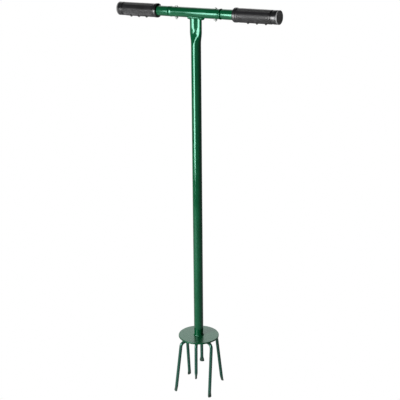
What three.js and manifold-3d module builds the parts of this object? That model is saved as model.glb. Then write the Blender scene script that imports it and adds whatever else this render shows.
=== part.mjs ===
// Twist tiller with a T-handle: a tube shaft on a round plate, six bent rod tines below the plate,
// and a knock-down crossbar with a plastic grip on each arm.
// Units are millimetres, +Z is up. X runs along the crossbar and Y from front to back.
// The origin is on the shaft axis, in the plane that the outer tine tips stand on.

import * as THREE from 'three';
import { mergeVertices } from 'three/addons/utils/BufferGeometryUtils.js';
import Module from 'manifold-3d';

const wasm = await Module();
wasm.setup();

// ---------------------------------------------------------------- driving dimensions

const seatGap = 0.3; // left between two pieces that touch
const roundSides = 28; // sides of a tube or a disc
const rodSides = 10; // sides of a tine rod
const boltSides = 16;
const plateSides = 48;
const tiny = 1e-4; // points closer than this are one point

const shaftDiameter = 23;
const shaftWall = 1.6;
const shaftRise = 796.8; // top of the plate to the axis of the crossbar

const pinchDepth = 10; // flattened top of the shaft, front to back
const pinchLength = 42; // how far below the crossbar axis the shaft stays flat
const pinchTaper = 30; // length over which it becomes round again
const creaseDepth = 1.5; // crease pressed into both flats
const creaseHalfWidth = 7;
const creaseLength = 56; // how far below the crossbar axis the crease runs out

const barDiameter = 23;
const barWall = 1.5;
const barHalfLength = 67; // middle tube of the crossbar, centre to end
const bellLength = 5; // mouth of the middle tube
const bellRise = 0.6;

const armEnd = 208; // centre of the crossbar to the outer end of an arm tube
const spigotLength = 30; // swaged end of the arm inside the middle tube
const spigotFit = 0.3; // radial clearance of the swaged end
const shoulderLength = 3;
const shoulderSpace = 1.2; // open groove between the bell mouth and the shoulder

const boltSetback = 15; // end of the middle tube to each bolt
const boltDiameter = 4;
const boltHoleFit = 0.4;
const boltHeadDiameter = 7.6;
const boltHeadHeight = 2;
const boltTail = 2.2; // thread that shows past the nut
const nutAcrossFlats = 7;
const nutHeight = 3.2;

const gripLength = 107.5;
const gripOverhang = 1; // the grip stands this far past the end of the arm tube
const gripFit = 0.3; // radial clearance on the arm tube
const gripWall = 3.6;
const gripCollarRise = 0.9; // collar at the inner end, above the body of the grip
const gripCollarLength = 9;
const gripGrooveDepth = 1.4;
const gripGrooveWidth = 4;
const gripGroovePlace = 12; // groove to the outer end of the grip
const ribPlaces = [33.5, 55.5, 77.5]; // inner end of the grip to each finger rib
const ribRise = 2.6; // how far a rib stands out of the grip
const ribThickness = 4.6;
const ribTurn = 24; // degrees that a rib is turned off square

const capThickness = 3.2;
const capRise = 0.1; // disc of the cap above the body of the grip
const capSpigotLength = 14;
const capSpigotFit = 0.4;

const plateDiameter = 101;
const plateThickness = 4;
const plateEdge = 0.8; // broken edge of the plate

const rodDiameter = 8;
const rodBend = 11; // centreline radius of the elbow
const tineDrop = 145; // top of the plate to the tips of the outer tines
const outerLegStart = 15; // shaft axis to the inner end of a horizontal leg
const elbowOverhang = 3; // edge of the plate to the centreline of an outer elbow
const outerSpread = 10.5; // tips of the outer tines, outwards from their elbows
const outerAzimuth = 67.8; // degrees, first outer tine from +X
const outerTwist = -12.3; // degrees that the tip trails the elbow
const innerDrop = 100;
const innerLegLength = 7; // straight part of an inner leg
const innerSpread = 3;
const innerTurn = 45; // degrees from an outer tine to the inner one beside it

const tipLength = 15; // forged end of a tine
const outerTipWidth = 10.4;
const innerTipWidth = 12;
const tipThickness = 5;
const tipKick = 1.6; // outward set of the forged end
const tipPoint = 0.85; // width of the cut end as a share of the widest place

const barWeldReach = 6.6; // bead where the shaft meets the crossbar, out along the bar
const barWeldSideReach = 3.4; // the same bead, front and back
const barWeldDrop = 5.6;
const baseWeldLeg = 3; // fillet round the foot of the shaft
const baseWeldBulge = 0.58; // 0.5 gives a flat-faced fillet
const weldFootSpace = 1; // plate left plain round the fillet
const tineWeldRadius = 2.7; // bead along a tine leg
const tineWeldTuck = 0.45; // share of the bead's radius that its middle stands off the rod
const tineWeldSpace = 1.2; // left between the beads of neighbouring tines
const weldRoundness = 1.3; // 1 gives a flat-faced bead and 2 a round one

// ---------------------------------------------------------------- places worked out from them

const plateTop = tineDrop;
const plateBottom = plateTop - plateThickness;
const barAxis = plateTop + shaftRise;
const barRadius = barDiameter / 2;
const shaftRadius = shaftDiameter / 2;
const rodRadius = rodDiameter / 2;
const legAxis = plateBottom - seatGap - rodRadius;
const nutTop = barAxis - barRadius - seatGap;
const boltPlace = barHalfLength - boltSetback;
const gripBore = barRadius + gripFit;
const gripRadius = gripBore + gripWall;
const gripEnd = armEnd + gripOverhang;
const gripStart = gripEnd - gripLength;
const beadCentre = rodRadius + tineWeldRadius * tineWeldTuck; // leg axis to its bead
const beadHalfWidth = beadCentre + tineWeldRadius;
const innerSine = Math.sin(THREE.MathUtils.degToRad(innerTurn));
const innerLegStart = (2 * beadHalfWidth + tineWeldSpace) / innerSine;
const innerElbow = innerLegStart + innerLegLength + rodBend;
const outerElbow = plateDiameter / 2 + elbowOverhang;

// ---------------------------------------------------------------- materials

function finish(color, roughness, metalness) {
  return { color, roughness, metalness };
}

const greenPaint = finish(0x0b5636, 0.28, 0.1);
const blackGrip = finish(0x2b2c2c, 0.6, 0);
const blackCap = finish(0x1d1e1e, 0.5, 0);
const zincSteel = finish(0x6f7470, 0.4, 0.8);

// ---------------------------------------------------------------- helpers

const tool = new THREE.Group();

function addPiece(name, geometry, look) {
  const piece = new THREE.Mesh(geometry, new THREE.MeshStandardMaterial(look));
  piece.name = name;
  tool.add(piece);
  return piece;
}

function solidOf(geometry) {
  const bare = geometry.clone();
  bare.deleteAttribute('normal');
  bare.deleteAttribute('uv');
  const merged = mergeVertices(bare, tiny);
  return new wasm.Manifold(new wasm.Mesh({
    numProp: 3,
    vertProperties: new Float32Array(merged.attributes.position.array),
    triVerts: new Uint32Array(merged.index.array),
  }));
}

function geometryOf(solid) {
  const mesh = solid.getMesh();
  const geometry = new THREE.BufferGeometry();
  geometry.setAttribute('position', new THREE.BufferAttribute(mesh.vertProperties, 3));
  geometry.setIndex(new THREE.BufferAttribute(mesh.triVerts, 1));
  geometry.computeVertexNormals();
  return geometry;
}

function cutAway(geometry, tools) {
  let solid = solidOf(geometry);
  for (const cutter of tools) {
    solid = solid.subtract(solidOf(cutter));
  }
  return geometryOf(solid);
}

function joined(geometry, additions) {
  let solid = solidOf(geometry);
  for (const addition of additions) {
    solid = solid.add(solidOf(addition));
  }
  return geometryOf(solid);
}

// A turned shape from [radius, height] pairs; a closed ring when the profile returns to its start.
function turned(profile, sides = roundSides) {
  const points = profile.map(([radius, height]) => new THREE.Vector2(radius, height));
  return new THREE.LatheGeometry(points, sides).rotateX(Math.PI / 2);
}

// The same shape with its axis along the crossbar, its height running outwards on the given side.
function turnedOnBar(profile, side, sides = roundSides) {
  const shape = turned(profile, sides).rotateY(Math.PI / 2);
  if (side < 0) {
    shape.rotateZ(Math.PI);
  }
  return shape.translate(0, 0, barAxis);
}

function barCylinder(radius, from, to) {
  const cylinder = new THREE.CylinderGeometry(radius, radius, to - from, roundSides);
  return cylinder.rotateZ(-Math.PI / 2).translate((from + to) / 2, 0, barAxis);
}

function moveEachPoint(geometry, place) {
  const position = geometry.attributes.position;
  const point = new THREE.Vector3();
  for (let i = 0; i < position.count; i += 1) {
    point.fromBufferAttribute(position, i);
    place(point);
    position.setXYZ(i, point.x, point.y, point.z);
  }
  return geometry;
}

// A ring of weld bead. It hands each point, with its angle round the ring and its place in the
// bead's section, to a function that sets it where the bead runs.
function unitBead(sectionSides, steps, place) {
  const ringRadius = 2;
  const ring = new THREE.TorusGeometry(ringRadius, 1, sectionSides, steps);
  return moveEachPoint(ring, (point) => {
    const out = Math.hypot(point.x, point.y) - ringRadius;
    place(point, Math.atan2(point.y, point.x), out, point.z);
  });
}

// ---------------------------------------------------------------- shaft

function pinchAt(below) {
  return 1 - THREE.MathUtils.smoothstep(below, pinchLength, pinchLength + pinchTaper);
}

function creaseAt(below) {
  const fadeStart = creaseLength - pinchTaper / 2;
  return creaseDepth * (1 - THREE.MathUtils.smoothstep(below, fadeStart, creaseLength));
}

// Outline of the shaft at one height: two round ends joined by two flats. The length round the
// outline stays the same as that of the round tube, as it does when a tube is pressed flat.
function shaftOutline(angle, inset, below, crease) {
  const depth = THREE.MathUtils.lerp(shaftRadius, pinchDepth / 2, pinchAt(below));
  const flat = (Math.PI / 2) * (shaftRadius - depth);
  const endRadius = depth - inset;
  const quarter = (Math.PI / 2) * endRadius + flat;
  const turn = Math.abs(Math.atan2(Math.sin(angle), Math.cos(angle)));
  const fromSide = turn > Math.PI / 2 ? Math.PI - turn : turn;
  const along = (fromSide / (Math.PI / 2)) * quarter;
  const roundLength = (Math.PI / 2) * endRadius;
  let x = flat - (along - roundLength);
  let y = endRadius;
  if (along < roundLength) {
    x = flat + endRadius * Math.cos(along / endRadius);
    y = endRadius * Math.sin(along / endRadius);
  }
  if (crease && Math.abs(x) < creaseHalfWidth) {
    y -= creaseAt(below) * 0.5 * (1 + Math.cos((Math.PI * x) / creaseHalfWidth));
  }
  return [turn > Math.PI / 2 ? -x : x, Math.sin(angle) < 0 ? -y : y];
}

// Heights, measured down from the crossbar axis, at which the outline changes.
function shaftRows(lowest) {
  const taperSteps = 8;
  const rows = [0, pinchLength / 3, (2 * pinchLength) / 3, pinchLength];
  for (let i = 1; i <= taperSteps; i += 1) {
    rows.push(pinchLength + (pinchTaper * i) / taperSteps);
  }
  rows.push(lowest);
  return rows;
}

// Presses a round shape, turned about the shaft axis, to the outline that the shaft has there.
function shapeShaft(geometry, outset, crease) {
  return moveEachPoint(geometry, (point) => {
    const radius = Math.hypot(point.x, point.y);
    if (radius < tiny) {
      return;
    }
    const angle = Math.atan2(point.y, point.x);
    const inset = shaftRadius - radius - outset;
    const [x, y] = shaftOutline(angle, inset, barAxis - point.z, crease);
    point.x = x;
    point.y = y;
  });
}

function shaftTube() {
  const lowest = shaftRise - seatGap;
  const rows = shaftRows(lowest);
  const outside = rows.map((below) => [shaftRadius, barAxis - below]).reverse();
  const inside = rows.map((below) => [shaftRadius - shaftWall, barAxis - below]);
  const tube = shapeShaft(turned([...outside, ...inside, outside[0]]), 0, true);
  return cutAway(tube, [barCylinder(barRadius + seatGap, -barHalfLength, barHalfLength)]);
}

// A plain solid that fills the top of the shaft and its seat gap, used to trim the bead round it.
function shaftTopCutter() {
  const rows = shaftRows(pinchLength + pinchTaper);
  const outside = rows.map((below) => [shaftRadius, barAxis - below]).reverse();
  const solid = [[0, outside[0][1]], ...outside, [0, barAxis]];
  return shapeShaft(turned(solid), seatGap, false);
}

// Bead that runs round the flattened top of the shaft, in the corner under the crossbar.
function crossbarWeld() {
  const ring = unitBead(8, 32, (point, angle, out, up) => {
    const power = weldRoundness;
    const slope = (Math.abs(out) ** power + Math.abs(up) ** power) ** (-1 / power);
    const [x, y] = shaftOutline(angle, 0, 0, false);
    const length = Math.hypot(x, y);
    const reach = THREE.MathUtils.lerp(barWeldSideReach, barWeldReach, Math.abs(x) / length);
    const grow = 1 + (out * slope * reach) / length;
    const seat = Math.sqrt(barRadius ** 2 - Math.min(y ** 2, barRadius ** 2));
    point.set(x * grow, y * grow, barAxis - seat + up * slope * barWeldDrop);
  });
  const reachAlongBar = shaftDiameter + barWeldReach;
  const bar = barCylinder(barRadius + seatGap, -reachAlongBar, reachAlongBar);
  return cutAway(ring, [bar, shaftTopCutter()]);
}

// Fillet round the foot of the shaft, on top of the plate.
function shaftWeld() {
  const inner = shaftRadius + seatGap;
  const foot = plateTop + seatGap;
  const bulge = baseWeldLeg * baseWeldBulge;
  return turned([
    [inner, foot],
    [inner + baseWeldLeg, foot],
    [inner + bulge, foot + bulge],
    [inner, foot + baseWeldLeg],
    [inner, foot],
  ]);
}

// ---------------------------------------------------------------- crossbar

function boltHole(side) {
  const radius = boltDiameter / 2 + boltHoleFit;
  const hole = new THREE.CylinderGeometry(radius, radius, barDiameter * 2, rodSides);
  return hole.rotateX(Math.PI / 2).translate(side * boltPlace, 0, barAxis);
}

function middleTube() {
  const bore = barRadius - barWall;
  const end = barHalfLength;
  const neck = end - bellLength;
  const tube = turnedOnBar([
    [barRadius + bellRise, end],
    [barRadius, neck],
    [barRadius, -neck],
    [barRadius + bellRise, -end],
    [bore + bellRise, -end],
    [bore, -neck],
    [bore, neck],
    [bore + bellRise, end],
    [barRadius + bellRise, end],
  ].reverse(), 1);
  return cutAway(tube, [boltHole(1), boltHole(-1)]);
}

function armTube(side) {
  const bore = barRadius - barWall;
  const spigot = bore - spigotFit;
  const spigotBore = spigot - barWall;
  const start = barHalfLength - spigotLength;
  const shoulder = barHalfLength + shoulderSpace;
  const full = shoulder + shoulderLength;
  const tube = turnedOnBar([
    [spigot, start],
    [spigot, shoulder],
    [barRadius, full],
    [barRadius, armEnd],
    [bore, armEnd],
    [bore, full],
    [spigotBore, shoulder],
    [spigotBore, start],
    [spigot, start],
  ], side);
  return cutAway(tube, [boltHole(side)]);
}

function armBolt(side) {
  const seat = barAxis + barRadius + seatGap;
  const tail = nutTop - nutHeight - boltTail;
  const shank = boltDiameter / 2;
  const head = boltHeadDiameter / 2;
  const chamfer = shank * 0.4;
  const dome = [[1, 0], [0.86, 0.55], [0.5, 0.9], [0, 1]]; // shares of the head's radius and height
  const bolt = turned([
    [0, tail],
    [shank - chamfer, tail],
    [shank, tail + chamfer],
    [shank, seat],
    ...dome.map(([out, up]) => [head * out, seat + boltHeadHeight * up]),
  ], boltSides);
  return bolt.translate(side * boltPlace, 0, 0);
}

function armNut(side) {
  const cornerShare = 1 / Math.cos(Math.PI / 6);
  const hexagon = (nutAcrossFlats / 2) * cornerShare;
  const bore = (boltDiameter / 2 + seatGap) * cornerShare;
  const nut = turned([
    [bore, nutTop - nutHeight],
    [hexagon, nutTop - nutHeight],
    [hexagon, nutTop],
    [bore, nutTop],
    [bore, nutTop - nutHeight],
  ], 6);
  return nut.translate(side * boltPlace, 0, 0);
}

// ---------------------------------------------------------------- grips

// A finger rib: a ring set off centre, so that it stands out below the grip and sinks in on top.
function gripRib(side, place) {
  const ring = new THREE.TorusGeometry(gripRadius - ribThickness / 2, ribThickness / 2, 6, 20);
  ring.rotateY(Math.PI / 2).rotateZ(THREE.MathUtils.degToRad(side * ribTurn));
  return ring.translate(side * (gripStart + place), 0, barAxis - ribRise);
}

function grip(side) {
  const body = gripRadius;
  const collar = gripRadius + gripCollarRise;
  const collarEnd = gripStart + gripCollarLength;
  const groove = gripEnd - gripGroovePlace;
  const round = 1.2;
  const outside = turnedOnBar([
    [0, gripStart],
    [collar - round, gripStart],
    [collar, gripStart + round],
    [collar, collarEnd - 2 * round],
    [body, collarEnd],
    [body, groove - gripGrooveWidth / 2],
    [body - gripGrooveDepth, groove],
    [body, groove + gripGrooveWidth / 2],
    [body, gripEnd - round],
    [body - round, gripEnd],
    [0, gripEnd],
  ], side);
  const ribs = ribPlaces.map((place) => gripRib(side, place));
  const throughBore = barCylinder(gripBore, -gripEnd - gripLength, gripEnd + gripLength);
  return cutAway(joined(outside, ribs), [throughBore]);
}

function gripCap(side) {
  const disc = gripRadius + capRise;
  const spigot = barRadius - barWall - capSpigotFit;
  const inner = gripEnd + seatGap;
  const outer = inner + capThickness;
  const round = 0.9;
  return turnedOnBar([
    [0, armEnd - capSpigotLength],
    [spigot - round, armEnd - capSpigotLength],
    [spigot, armEnd - capSpigotLength + round],
    [spigot, inner],
    [disc, inner],
    [disc, outer - round],
    [disc - round, outer],
    [0, outer],
  ], side);
}

// ---------------------------------------------------------------- plate

function groundPlate() {
  const rim = plateDiameter / 2;
  const weldFoot = shaftRadius + seatGap + baseWeldLeg + weldFootSpace;
  return turned([
    [0, plateBottom],
    [rim - plateEdge, plateBottom],
    [rim, plateBottom + plateEdge],
    [rim, plateTop - plateEdge],
    [rim - plateEdge, plateTop],
    [weldFoot, plateTop],
    [0, plateTop],
  ], plateSides);
}

// ---------------------------------------------------------------- tines

function polar(radius, degrees, height) {
  const angle = THREE.MathUtils.degToRad(degrees);
  return new THREE.Vector3(radius * Math.cos(angle), radius * Math.sin(angle), height);
}

// Centre points of one rod: a horizontal leg, an elbow and a straight tine down to its tip.
function tinePath({ azimuth, legStart, elbow, tip, twist, drop }) {
  const start = polar(legStart, azimuth, legAxis);
  const corner = polar(elbow, azimuth, legAxis);
  const end = polar(tip, azimuth + twist, plateTop - drop);
  const legWay = corner.clone().sub(start).normalize();
  const tineWay = end.clone().sub(corner).normalize();
  const turn = Math.acos(legWay.dot(tineWay));
  const setback = rodBend * Math.tan(turn / 2);
  const bendStart = corner.clone().addScaledVector(legWay, -setback);
  const bendEnd = corner.clone().addScaledVector(tineWay, setback);
  const inward = tineWay.clone().sub(legWay).normalize();
  const centre = corner.clone().addScaledVector(inward, rodBend / Math.cos(turn / 2));
  const points = [start, bendStart];
  const steps = 6;
  for (let i = 1; i < steps; i += 1) {
    const part = (turn * i) / steps;
    const spoke = bendStart.clone().sub(centre).multiplyScalar(Math.cos(part));
    spoke.addScaledVector(legWay, rodBend * Math.sin(part));
    points.push(centre.clone().add(spoke));
  }
  points.push(bendEnd);
  return { points, end, tineWay };
}

// Stations of the forged end: share of its length, and how far the rod is flattened there.
const forgedEnd = [
  { share: 0, flat: 0 },
  { share: 0.3, flat: 0.2 },
  { share: 0.6, flat: 0.75 },
  { share: 0.9, flat: 1 },
];

function tine(layout) {
  const { points, end, tineWay } = tinePath(layout);
  const across = polar(1, layout.azimuth + 90, 0);
  const stations = points.map((centre) => ({ centre, width: rodRadius, depth: rodRadius }));
  const outward = polar(1, layout.azimuth + layout.twist, 0);
  for (const { share, flat } of forgedEnd) {
    const centre = end.clone().addScaledVector(tineWay, -tipLength * (1 - share));
    centre.addScaledVector(outward, tipKick * share * share);
    const wide = THREE.MathUtils.lerp(rodRadius, layout.tipWidth / 2, flat);
    const thin = THREE.MathUtils.lerp(rodRadius, tipThickness / 2, flat);
    stations.push(tipStation(centre, wide, thin, layout.flatTurned));
  }
  const point = end.clone().addScaledVector(outward, tipKick);
  const half = tipPoint / 2;
  stations.push(tipStation(point, layout.tipWidth * half, tipThickness * half, layout.flatTurned));
  return rodThrough(stations, across);
}

// A flat is wide across its leg, or along it when it is turned, as the second inner tine's is.
function tipStation(centre, wide, thin, flatTurned) {
  return flatTurned ? { centre, width: thin, depth: wide } : { centre, width: wide, depth: thin };
}

// A round bar whose rings are set on the stations, each turned square to the way the bar runs.
function rodThrough(stations, across) {
  const last = stations.length - 1;
  const rod = new THREE.CylinderGeometry(1, 1, last, rodSides, last);
  return moveEachPoint(rod, (point) => {
    const index = Math.round(last / 2 - point.y);
    const { centre, width, depth } = stations[index];
    const before = stations[Math.max(index - 1, 0)].centre;
    const after = stations[Math.min(index + 1, last)].centre;
    const way = index === last ? new THREE.Vector3(0, 0, -1) : after.clone().sub(before).normalize();
    const side = across.clone().addScaledVector(way, -across.dot(way)).normalize();
    const face = new THREE.Vector3().crossVectors(way, side);
    const placed = centre.clone();
    placed.addScaledVector(side, width * point.x);
    placed.addScaledVector(face, depth * point.z);
    point.copy(placed);
  });
}

// Bead that holds a leg: up one side, round its inner end and back along the other side.
function tineWeld(layout) {
  const length = layout.elbow - rodBend - layout.legStart;
  const ring = unitBead(6, 20, (point, angle, out, up) => {
    const radius = beadCentre + out * tineWeldRadius;
    const x = radius * Math.cos(angle) + (Math.cos(angle) > 0 ? length : 0);
    point.set(x, radius * Math.sin(angle), up * tineWeldRadius);
  });
  ring.translate(layout.legStart, 0, plateBottom - tineWeldRadius * (1 - tineWeldTuck));
  ring.rotateZ(THREE.MathUtils.degToRad(layout.azimuth));
  const slab = new THREE.BoxGeometry(plateDiameter * 2, plateDiameter * 2, plateThickness * 2);
  slab.translate(0, 0, plateBottom - seatGap + plateThickness);
  return cutAway(ring, [slab, legCutter(layout)]);
}

function legCutter(layout) {
  const radius = rodRadius + seatGap;
  const from = layout.legStart - seatGap;
  const to = layout.elbow + rodDiameter;
  const leg = new THREE.CylinderGeometry(radius, radius, to - from, rodSides * 2);
  leg.rotateZ(-Math.PI / 2).translate((from + to) / 2, 0, legAxis);
  return leg.rotateZ(THREE.MathUtils.degToRad(layout.azimuth));
}

// ---------------------------------------------------------------- the tool

addPiece('shaft_tube', shaftTube(), greenPaint);
addPiece('shaft_weld', shaftWeld(), greenPaint);
addPiece('crossbar_middle_tube', middleTube(), greenPaint);
addPiece('crossbar_weld', crossbarWeld(), greenPaint);

for (const [side, hand] of [[1, 'right'], [-1, 'left']]) {
  addPiece(`arm_tube_${hand}`, armTube(side), greenPaint);
  addPiece(`arm_bolt_${hand}`, armBolt(side), zincSteel);
  addPiece(`arm_nut_${hand}`, armNut(side), zincSteel);
  addPiece(`grip_${hand}`, grip(side), blackGrip);
  addPiece(`grip_cap_${hand}`, gripCap(side), blackCap);
}

addPiece('ground_plate', groundPlate(), greenPaint);

const tineLayouts = [];
for (let i = 0; i < 4; i += 1) {
  tineLayouts.push({
    name: `outer_${i + 1}`,
    azimuth: outerAzimuth + 90 * i,
    legStart: outerLegStart,
    elbow: outerElbow,
    tip: outerElbow + outerSpread,
    twist: outerTwist,
    drop: tineDrop,
    tipWidth: outerTipWidth,
    flatTurned: false,
  });
}
for (let i = 0; i < 2; i += 1) {
  tineLayouts.push({
    name: `inner_${i + 1}`,
    azimuth: outerAzimuth + innerTurn + 180 * i,
    legStart: innerLegStart,
    elbow: innerElbow,
    tip: innerElbow + innerSpread,
    twist: 0,
    drop: innerDrop,
    tipWidth: innerTipWidth,
    flatTurned: i === 1,
  });
}

for (const layout of tineLayouts) {
  addPiece(`tine_${layout.name}`, tine(layout), greenPaint);
  addPiece(`tine_weld_${layout.name}`, tineWeld(layout), greenPaint);
}

export default tool;
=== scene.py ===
"""Twist tiller: the finished look of a green steel tool with a T-handle and six forged tines.

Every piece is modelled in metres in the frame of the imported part, and stands for one of its nodes.
X runs along the crossbar, Y from front to back, and Z is up. The tines stand on the floor at Z = 0.
"""

import math

import bmesh
import bpy
from mathutils import Matrix, Vector


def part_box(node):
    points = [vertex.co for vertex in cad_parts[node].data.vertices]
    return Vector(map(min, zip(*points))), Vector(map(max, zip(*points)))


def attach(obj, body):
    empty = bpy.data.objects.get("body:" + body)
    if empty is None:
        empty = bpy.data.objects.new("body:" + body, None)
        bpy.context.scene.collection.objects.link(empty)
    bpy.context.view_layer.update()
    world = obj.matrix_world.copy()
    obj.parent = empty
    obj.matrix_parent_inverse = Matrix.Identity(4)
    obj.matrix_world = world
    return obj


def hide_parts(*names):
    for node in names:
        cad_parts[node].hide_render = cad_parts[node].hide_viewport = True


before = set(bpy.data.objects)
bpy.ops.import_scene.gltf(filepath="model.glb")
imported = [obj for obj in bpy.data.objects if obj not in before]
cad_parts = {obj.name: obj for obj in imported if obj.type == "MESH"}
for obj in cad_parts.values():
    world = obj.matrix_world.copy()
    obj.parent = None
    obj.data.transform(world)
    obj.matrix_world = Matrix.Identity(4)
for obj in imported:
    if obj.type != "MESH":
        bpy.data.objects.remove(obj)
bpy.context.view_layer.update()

# ---------------------------------------------------------------- sizes, in metres

MM = 0.001
TINY = 1e-6
WELD_GAP = 0.003 * MM  # points nearer than this are one point

tube_low, tube_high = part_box("crossbar_middle_tube")
arm_low, arm_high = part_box("arm_tube_right")
shaft_low, shaft_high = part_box("shaft_tube")
grip_low, grip_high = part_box("grip_right")
cap_low, cap_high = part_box("grip_cap_right")
bolt_low, bolt_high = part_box("arm_bolt_right")
nut_low, nut_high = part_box("arm_nut_right")
plate_low, plate_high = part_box("ground_plate")
outer_low, outer_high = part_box("tine_outer_1")
inner_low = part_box("tine_inner_1")[0]

bar_axis = (tube_low.z + tube_high.z) / 2
bell_rise = 0.6 * MM  # mouth of the middle tube, above its outside
bell_length = 5 * MM
bar_half = tube_high.x
bar_radius = tube_high.y - bell_rise
bar_wall = 1.5 * MM
bar_lip = 0.35 * MM  # rounding of a cut tube end

arm_start = arm_low.x
arm_end = arm_high.x
arm_clearance = 0.3 * MM  # swaged end inside the middle tube
arm_shoulder = bar_half + 1.2 * MM
arm_shoulder_length = 3 * MM

shaft_radius = shaft_high.y
shaft_foot = shaft_low.z
shaft_wall = 1.6 * MM
pinch_half_depth = 5 * MM
pinch_flat = (math.pi / 2) * (shaft_radius - pinch_half_depth)
pinch_length = 42 * MM  # below the axis of the crossbar
pinch_taper = 30 * MM
crease_depth = 2.6 * MM
crease_reach = 9.4 * MM
crease_pushes = ((42 * MM, 0.45), (36 * MM, 0.55))  # how far down each push goes, and its share
pinch_end = bar_axis - pinch_length
shoulder_depth = 0.9 * MM
shoulder_reach = 7 * MM

plate_top = plate_high.z
plate_bottom = plate_low.z
plate_radius = plate_high.x
plate_edge = 0.9 * MM

rod_radius = 4 * MM
rod_bend = 11 * MM
leg_axis = outer_high.z - rod_radius
outer_azimuth = math.radians(67.8)
outer_twist = math.radians(-12.3)
inner_turn = math.radians(45)
outer_leg_start = 15 * MM
outer_elbow = 53.5 * MM
outer_tip = 64 * MM
inner_leg_start = 24.08 * MM
inner_elbow = inner_leg_start + 7 * MM + rod_bend
inner_tip = inner_elbow + 3 * MM

# ---------------------------------------------------------------- modelling helpers

ROUND_STEPS = 4  # edges in each rounded corner of an outline
ALONG_X = Matrix.Rotation(math.pi / 2, 3, "Y")  # turns a shape drawn about Z to run along +X
FLIP = Matrix.Rotation(math.pi, 3, "Z")  # the left-hand copy of a right-hand piece


def clear_selection():
    if bpy.context.object and bpy.context.object.mode != "OBJECT":
        bpy.ops.object.mode_set(mode="OBJECT")
    bpy.ops.object.select_all(action="DESELECT")


def pick(piece):
    """Selects one finished piece and nothing else."""
    clear_selection()
    piece.select_set(True)
    bpy.context.view_layer.objects.active = piece


def open_mesh(name):
    """Names the primitive that was just added, fixes its place in its mesh and opens it for editing."""
    piece = bpy.context.object
    piece.name = name
    piece.data.name = name
    bpy.ops.object.transform_apply(location=True, rotation=True, scale=True)
    bpy.ops.object.mode_set(mode="EDIT")
    bpy.ops.mesh.select_mode(type="VERT")
    bpy.ops.mesh.select_all(action="SELECT")
    return piece


def close_mesh():
    bpy.ops.mesh.select_all(action="SELECT")
    bpy.ops.mesh.remove_doubles(threshold=TINY)
    bpy.ops.mesh.normals_make_consistent(inside=False)
    bpy.ops.object.mode_set(mode="OBJECT")


def select_where(kind, test):
    """Selects the vertices, edges or faces of the open mesh whose middle passes the test."""
    bpy.ops.mesh.select_mode(type=kind)
    bpy.ops.mesh.select_all(action="DESELECT")
    mesh = bmesh.from_edit_mesh(bpy.context.edit_object.data)
    if kind == "VERT":
        for vertex in mesh.verts:
            vertex.select_set(bool(test(vertex.co)))
    elif kind == "EDGE":
        for edge in mesh.edges:
            edge.select_set(bool(test((edge.verts[0].co + edge.verts[1].co) / 2)))
    else:
        for face in mesh.faces:
            face.select_set(bool(test(face.calc_center_median())))
    mesh.select_flush_mode()
    bmesh.update_edit_mesh(bpy.context.edit_object.data)


def extrude(move):
    bpy.ops.mesh.extrude_region_move(TRANSFORM_OT_translate={"value": tuple(move)})


def resize(value, centre):
    bpy.ops.transform.resize(value=value, center_override=tuple(centre))


def rounded(outline):
    """Turns each (radius, along, rounding) corner of an outline into an arc."""
    points = []
    last = len(outline) - 1
    for i, corner in enumerate(outline):
        here = Vector(corner[:2])
        rounding = corner[2] if len(corner) > 2 else 0
        if rounding == 0 or i in (0, last):
            points.append(here)
            continue
        before = Vector(outline[i - 1][:2]) - here
        after = Vector(outline[i + 1][:2]) - here
        before.normalize()
        after.normalize()
        half_turn = before.angle(after) / 2
        setback = rounding / math.tan(half_turn)
        start = here + before * setback
        end = here + after * setback
        centre = here + (before + after).normalized() * (rounding / math.sin(half_turn))
        sweep = (start - centre).angle_signed(end - centre)
        for step in range(ROUND_STEPS + 1):
            spoke = start - centre
            spoke.rotate(Matrix.Rotation(-sweep * step / ROUND_STEPS, 2))
            points.append(centre + spoke)
    return points


def turn(name, outline, sides, lie_along=None, at=(0, 0, 0)):
    """Draws an outline of (radius, along, rounding) corners beside an axis and spins it round."""
    points = rounded(outline)
    clear_selection()
    bpy.ops.mesh.primitive_plane_add(size=MM, location=(points[0].x, 0, points[0].y))
    piece = open_mesh(name)
    bpy.ops.mesh.merge(type="CENTER")
    for here, there in zip(points, points[1:]):
        step = there - here
        bpy.ops.mesh.extrude_vertices_move(TRANSFORM_OT_translate={"value": (step.x, 0, step.y)})
    bpy.ops.mesh.select_all(action="SELECT")
    bpy.ops.mesh.spin(steps=sides, angle=math.tau, center=(0, 0, 0), axis=(0, 0, 1))
    close_mesh()
    place(piece, lie_along, at)
    return piece


def place(piece, turned=None, at=(0, 0, 0)):
    """Turns and moves a finished mesh, leaving its object at the origin."""
    pick(piece)
    if turned is not None:
        piece.matrix_world = Matrix.Translation(at) @ turned.to_4x4()
    else:
        piece.location = at
    bpy.ops.object.transform_apply(location=True, rotation=True, scale=True)


def apply_modifier(piece, kind, **settings):
    pick(piece)
    modifier = piece.modifiers.new(kind.lower(), kind)
    for setting, value in settings.items():
        setattr(modifier, setting, value)
    bpy.ops.object.modifier_apply(modifier=modifier.name)


def combine(piece, tool, operation):
    """Joins, cuts or trims a piece with another, which is then thrown away."""
    apply_modifier(piece, "BOOLEAN", operation=operation, solver="EXACT", object=tool)
    apply_modifier(piece, "WELD", merge_threshold=WELD_GAP)
    bpy.data.objects.remove(tool)


def copy_of(piece, name, turned=None, at=(0, 0, 0)):
    twin = piece.copy()
    twin.data = piece.data.copy()
    twin.name = name
    twin.data.name = name
    bpy.context.collection.objects.link(twin)
    place(twin, turned, at)
    return twin


def smooth(piece, degrees):
    pick(piece)
    bpy.ops.object.shade_smooth_by_angle(angle=math.radians(degrees))


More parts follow.
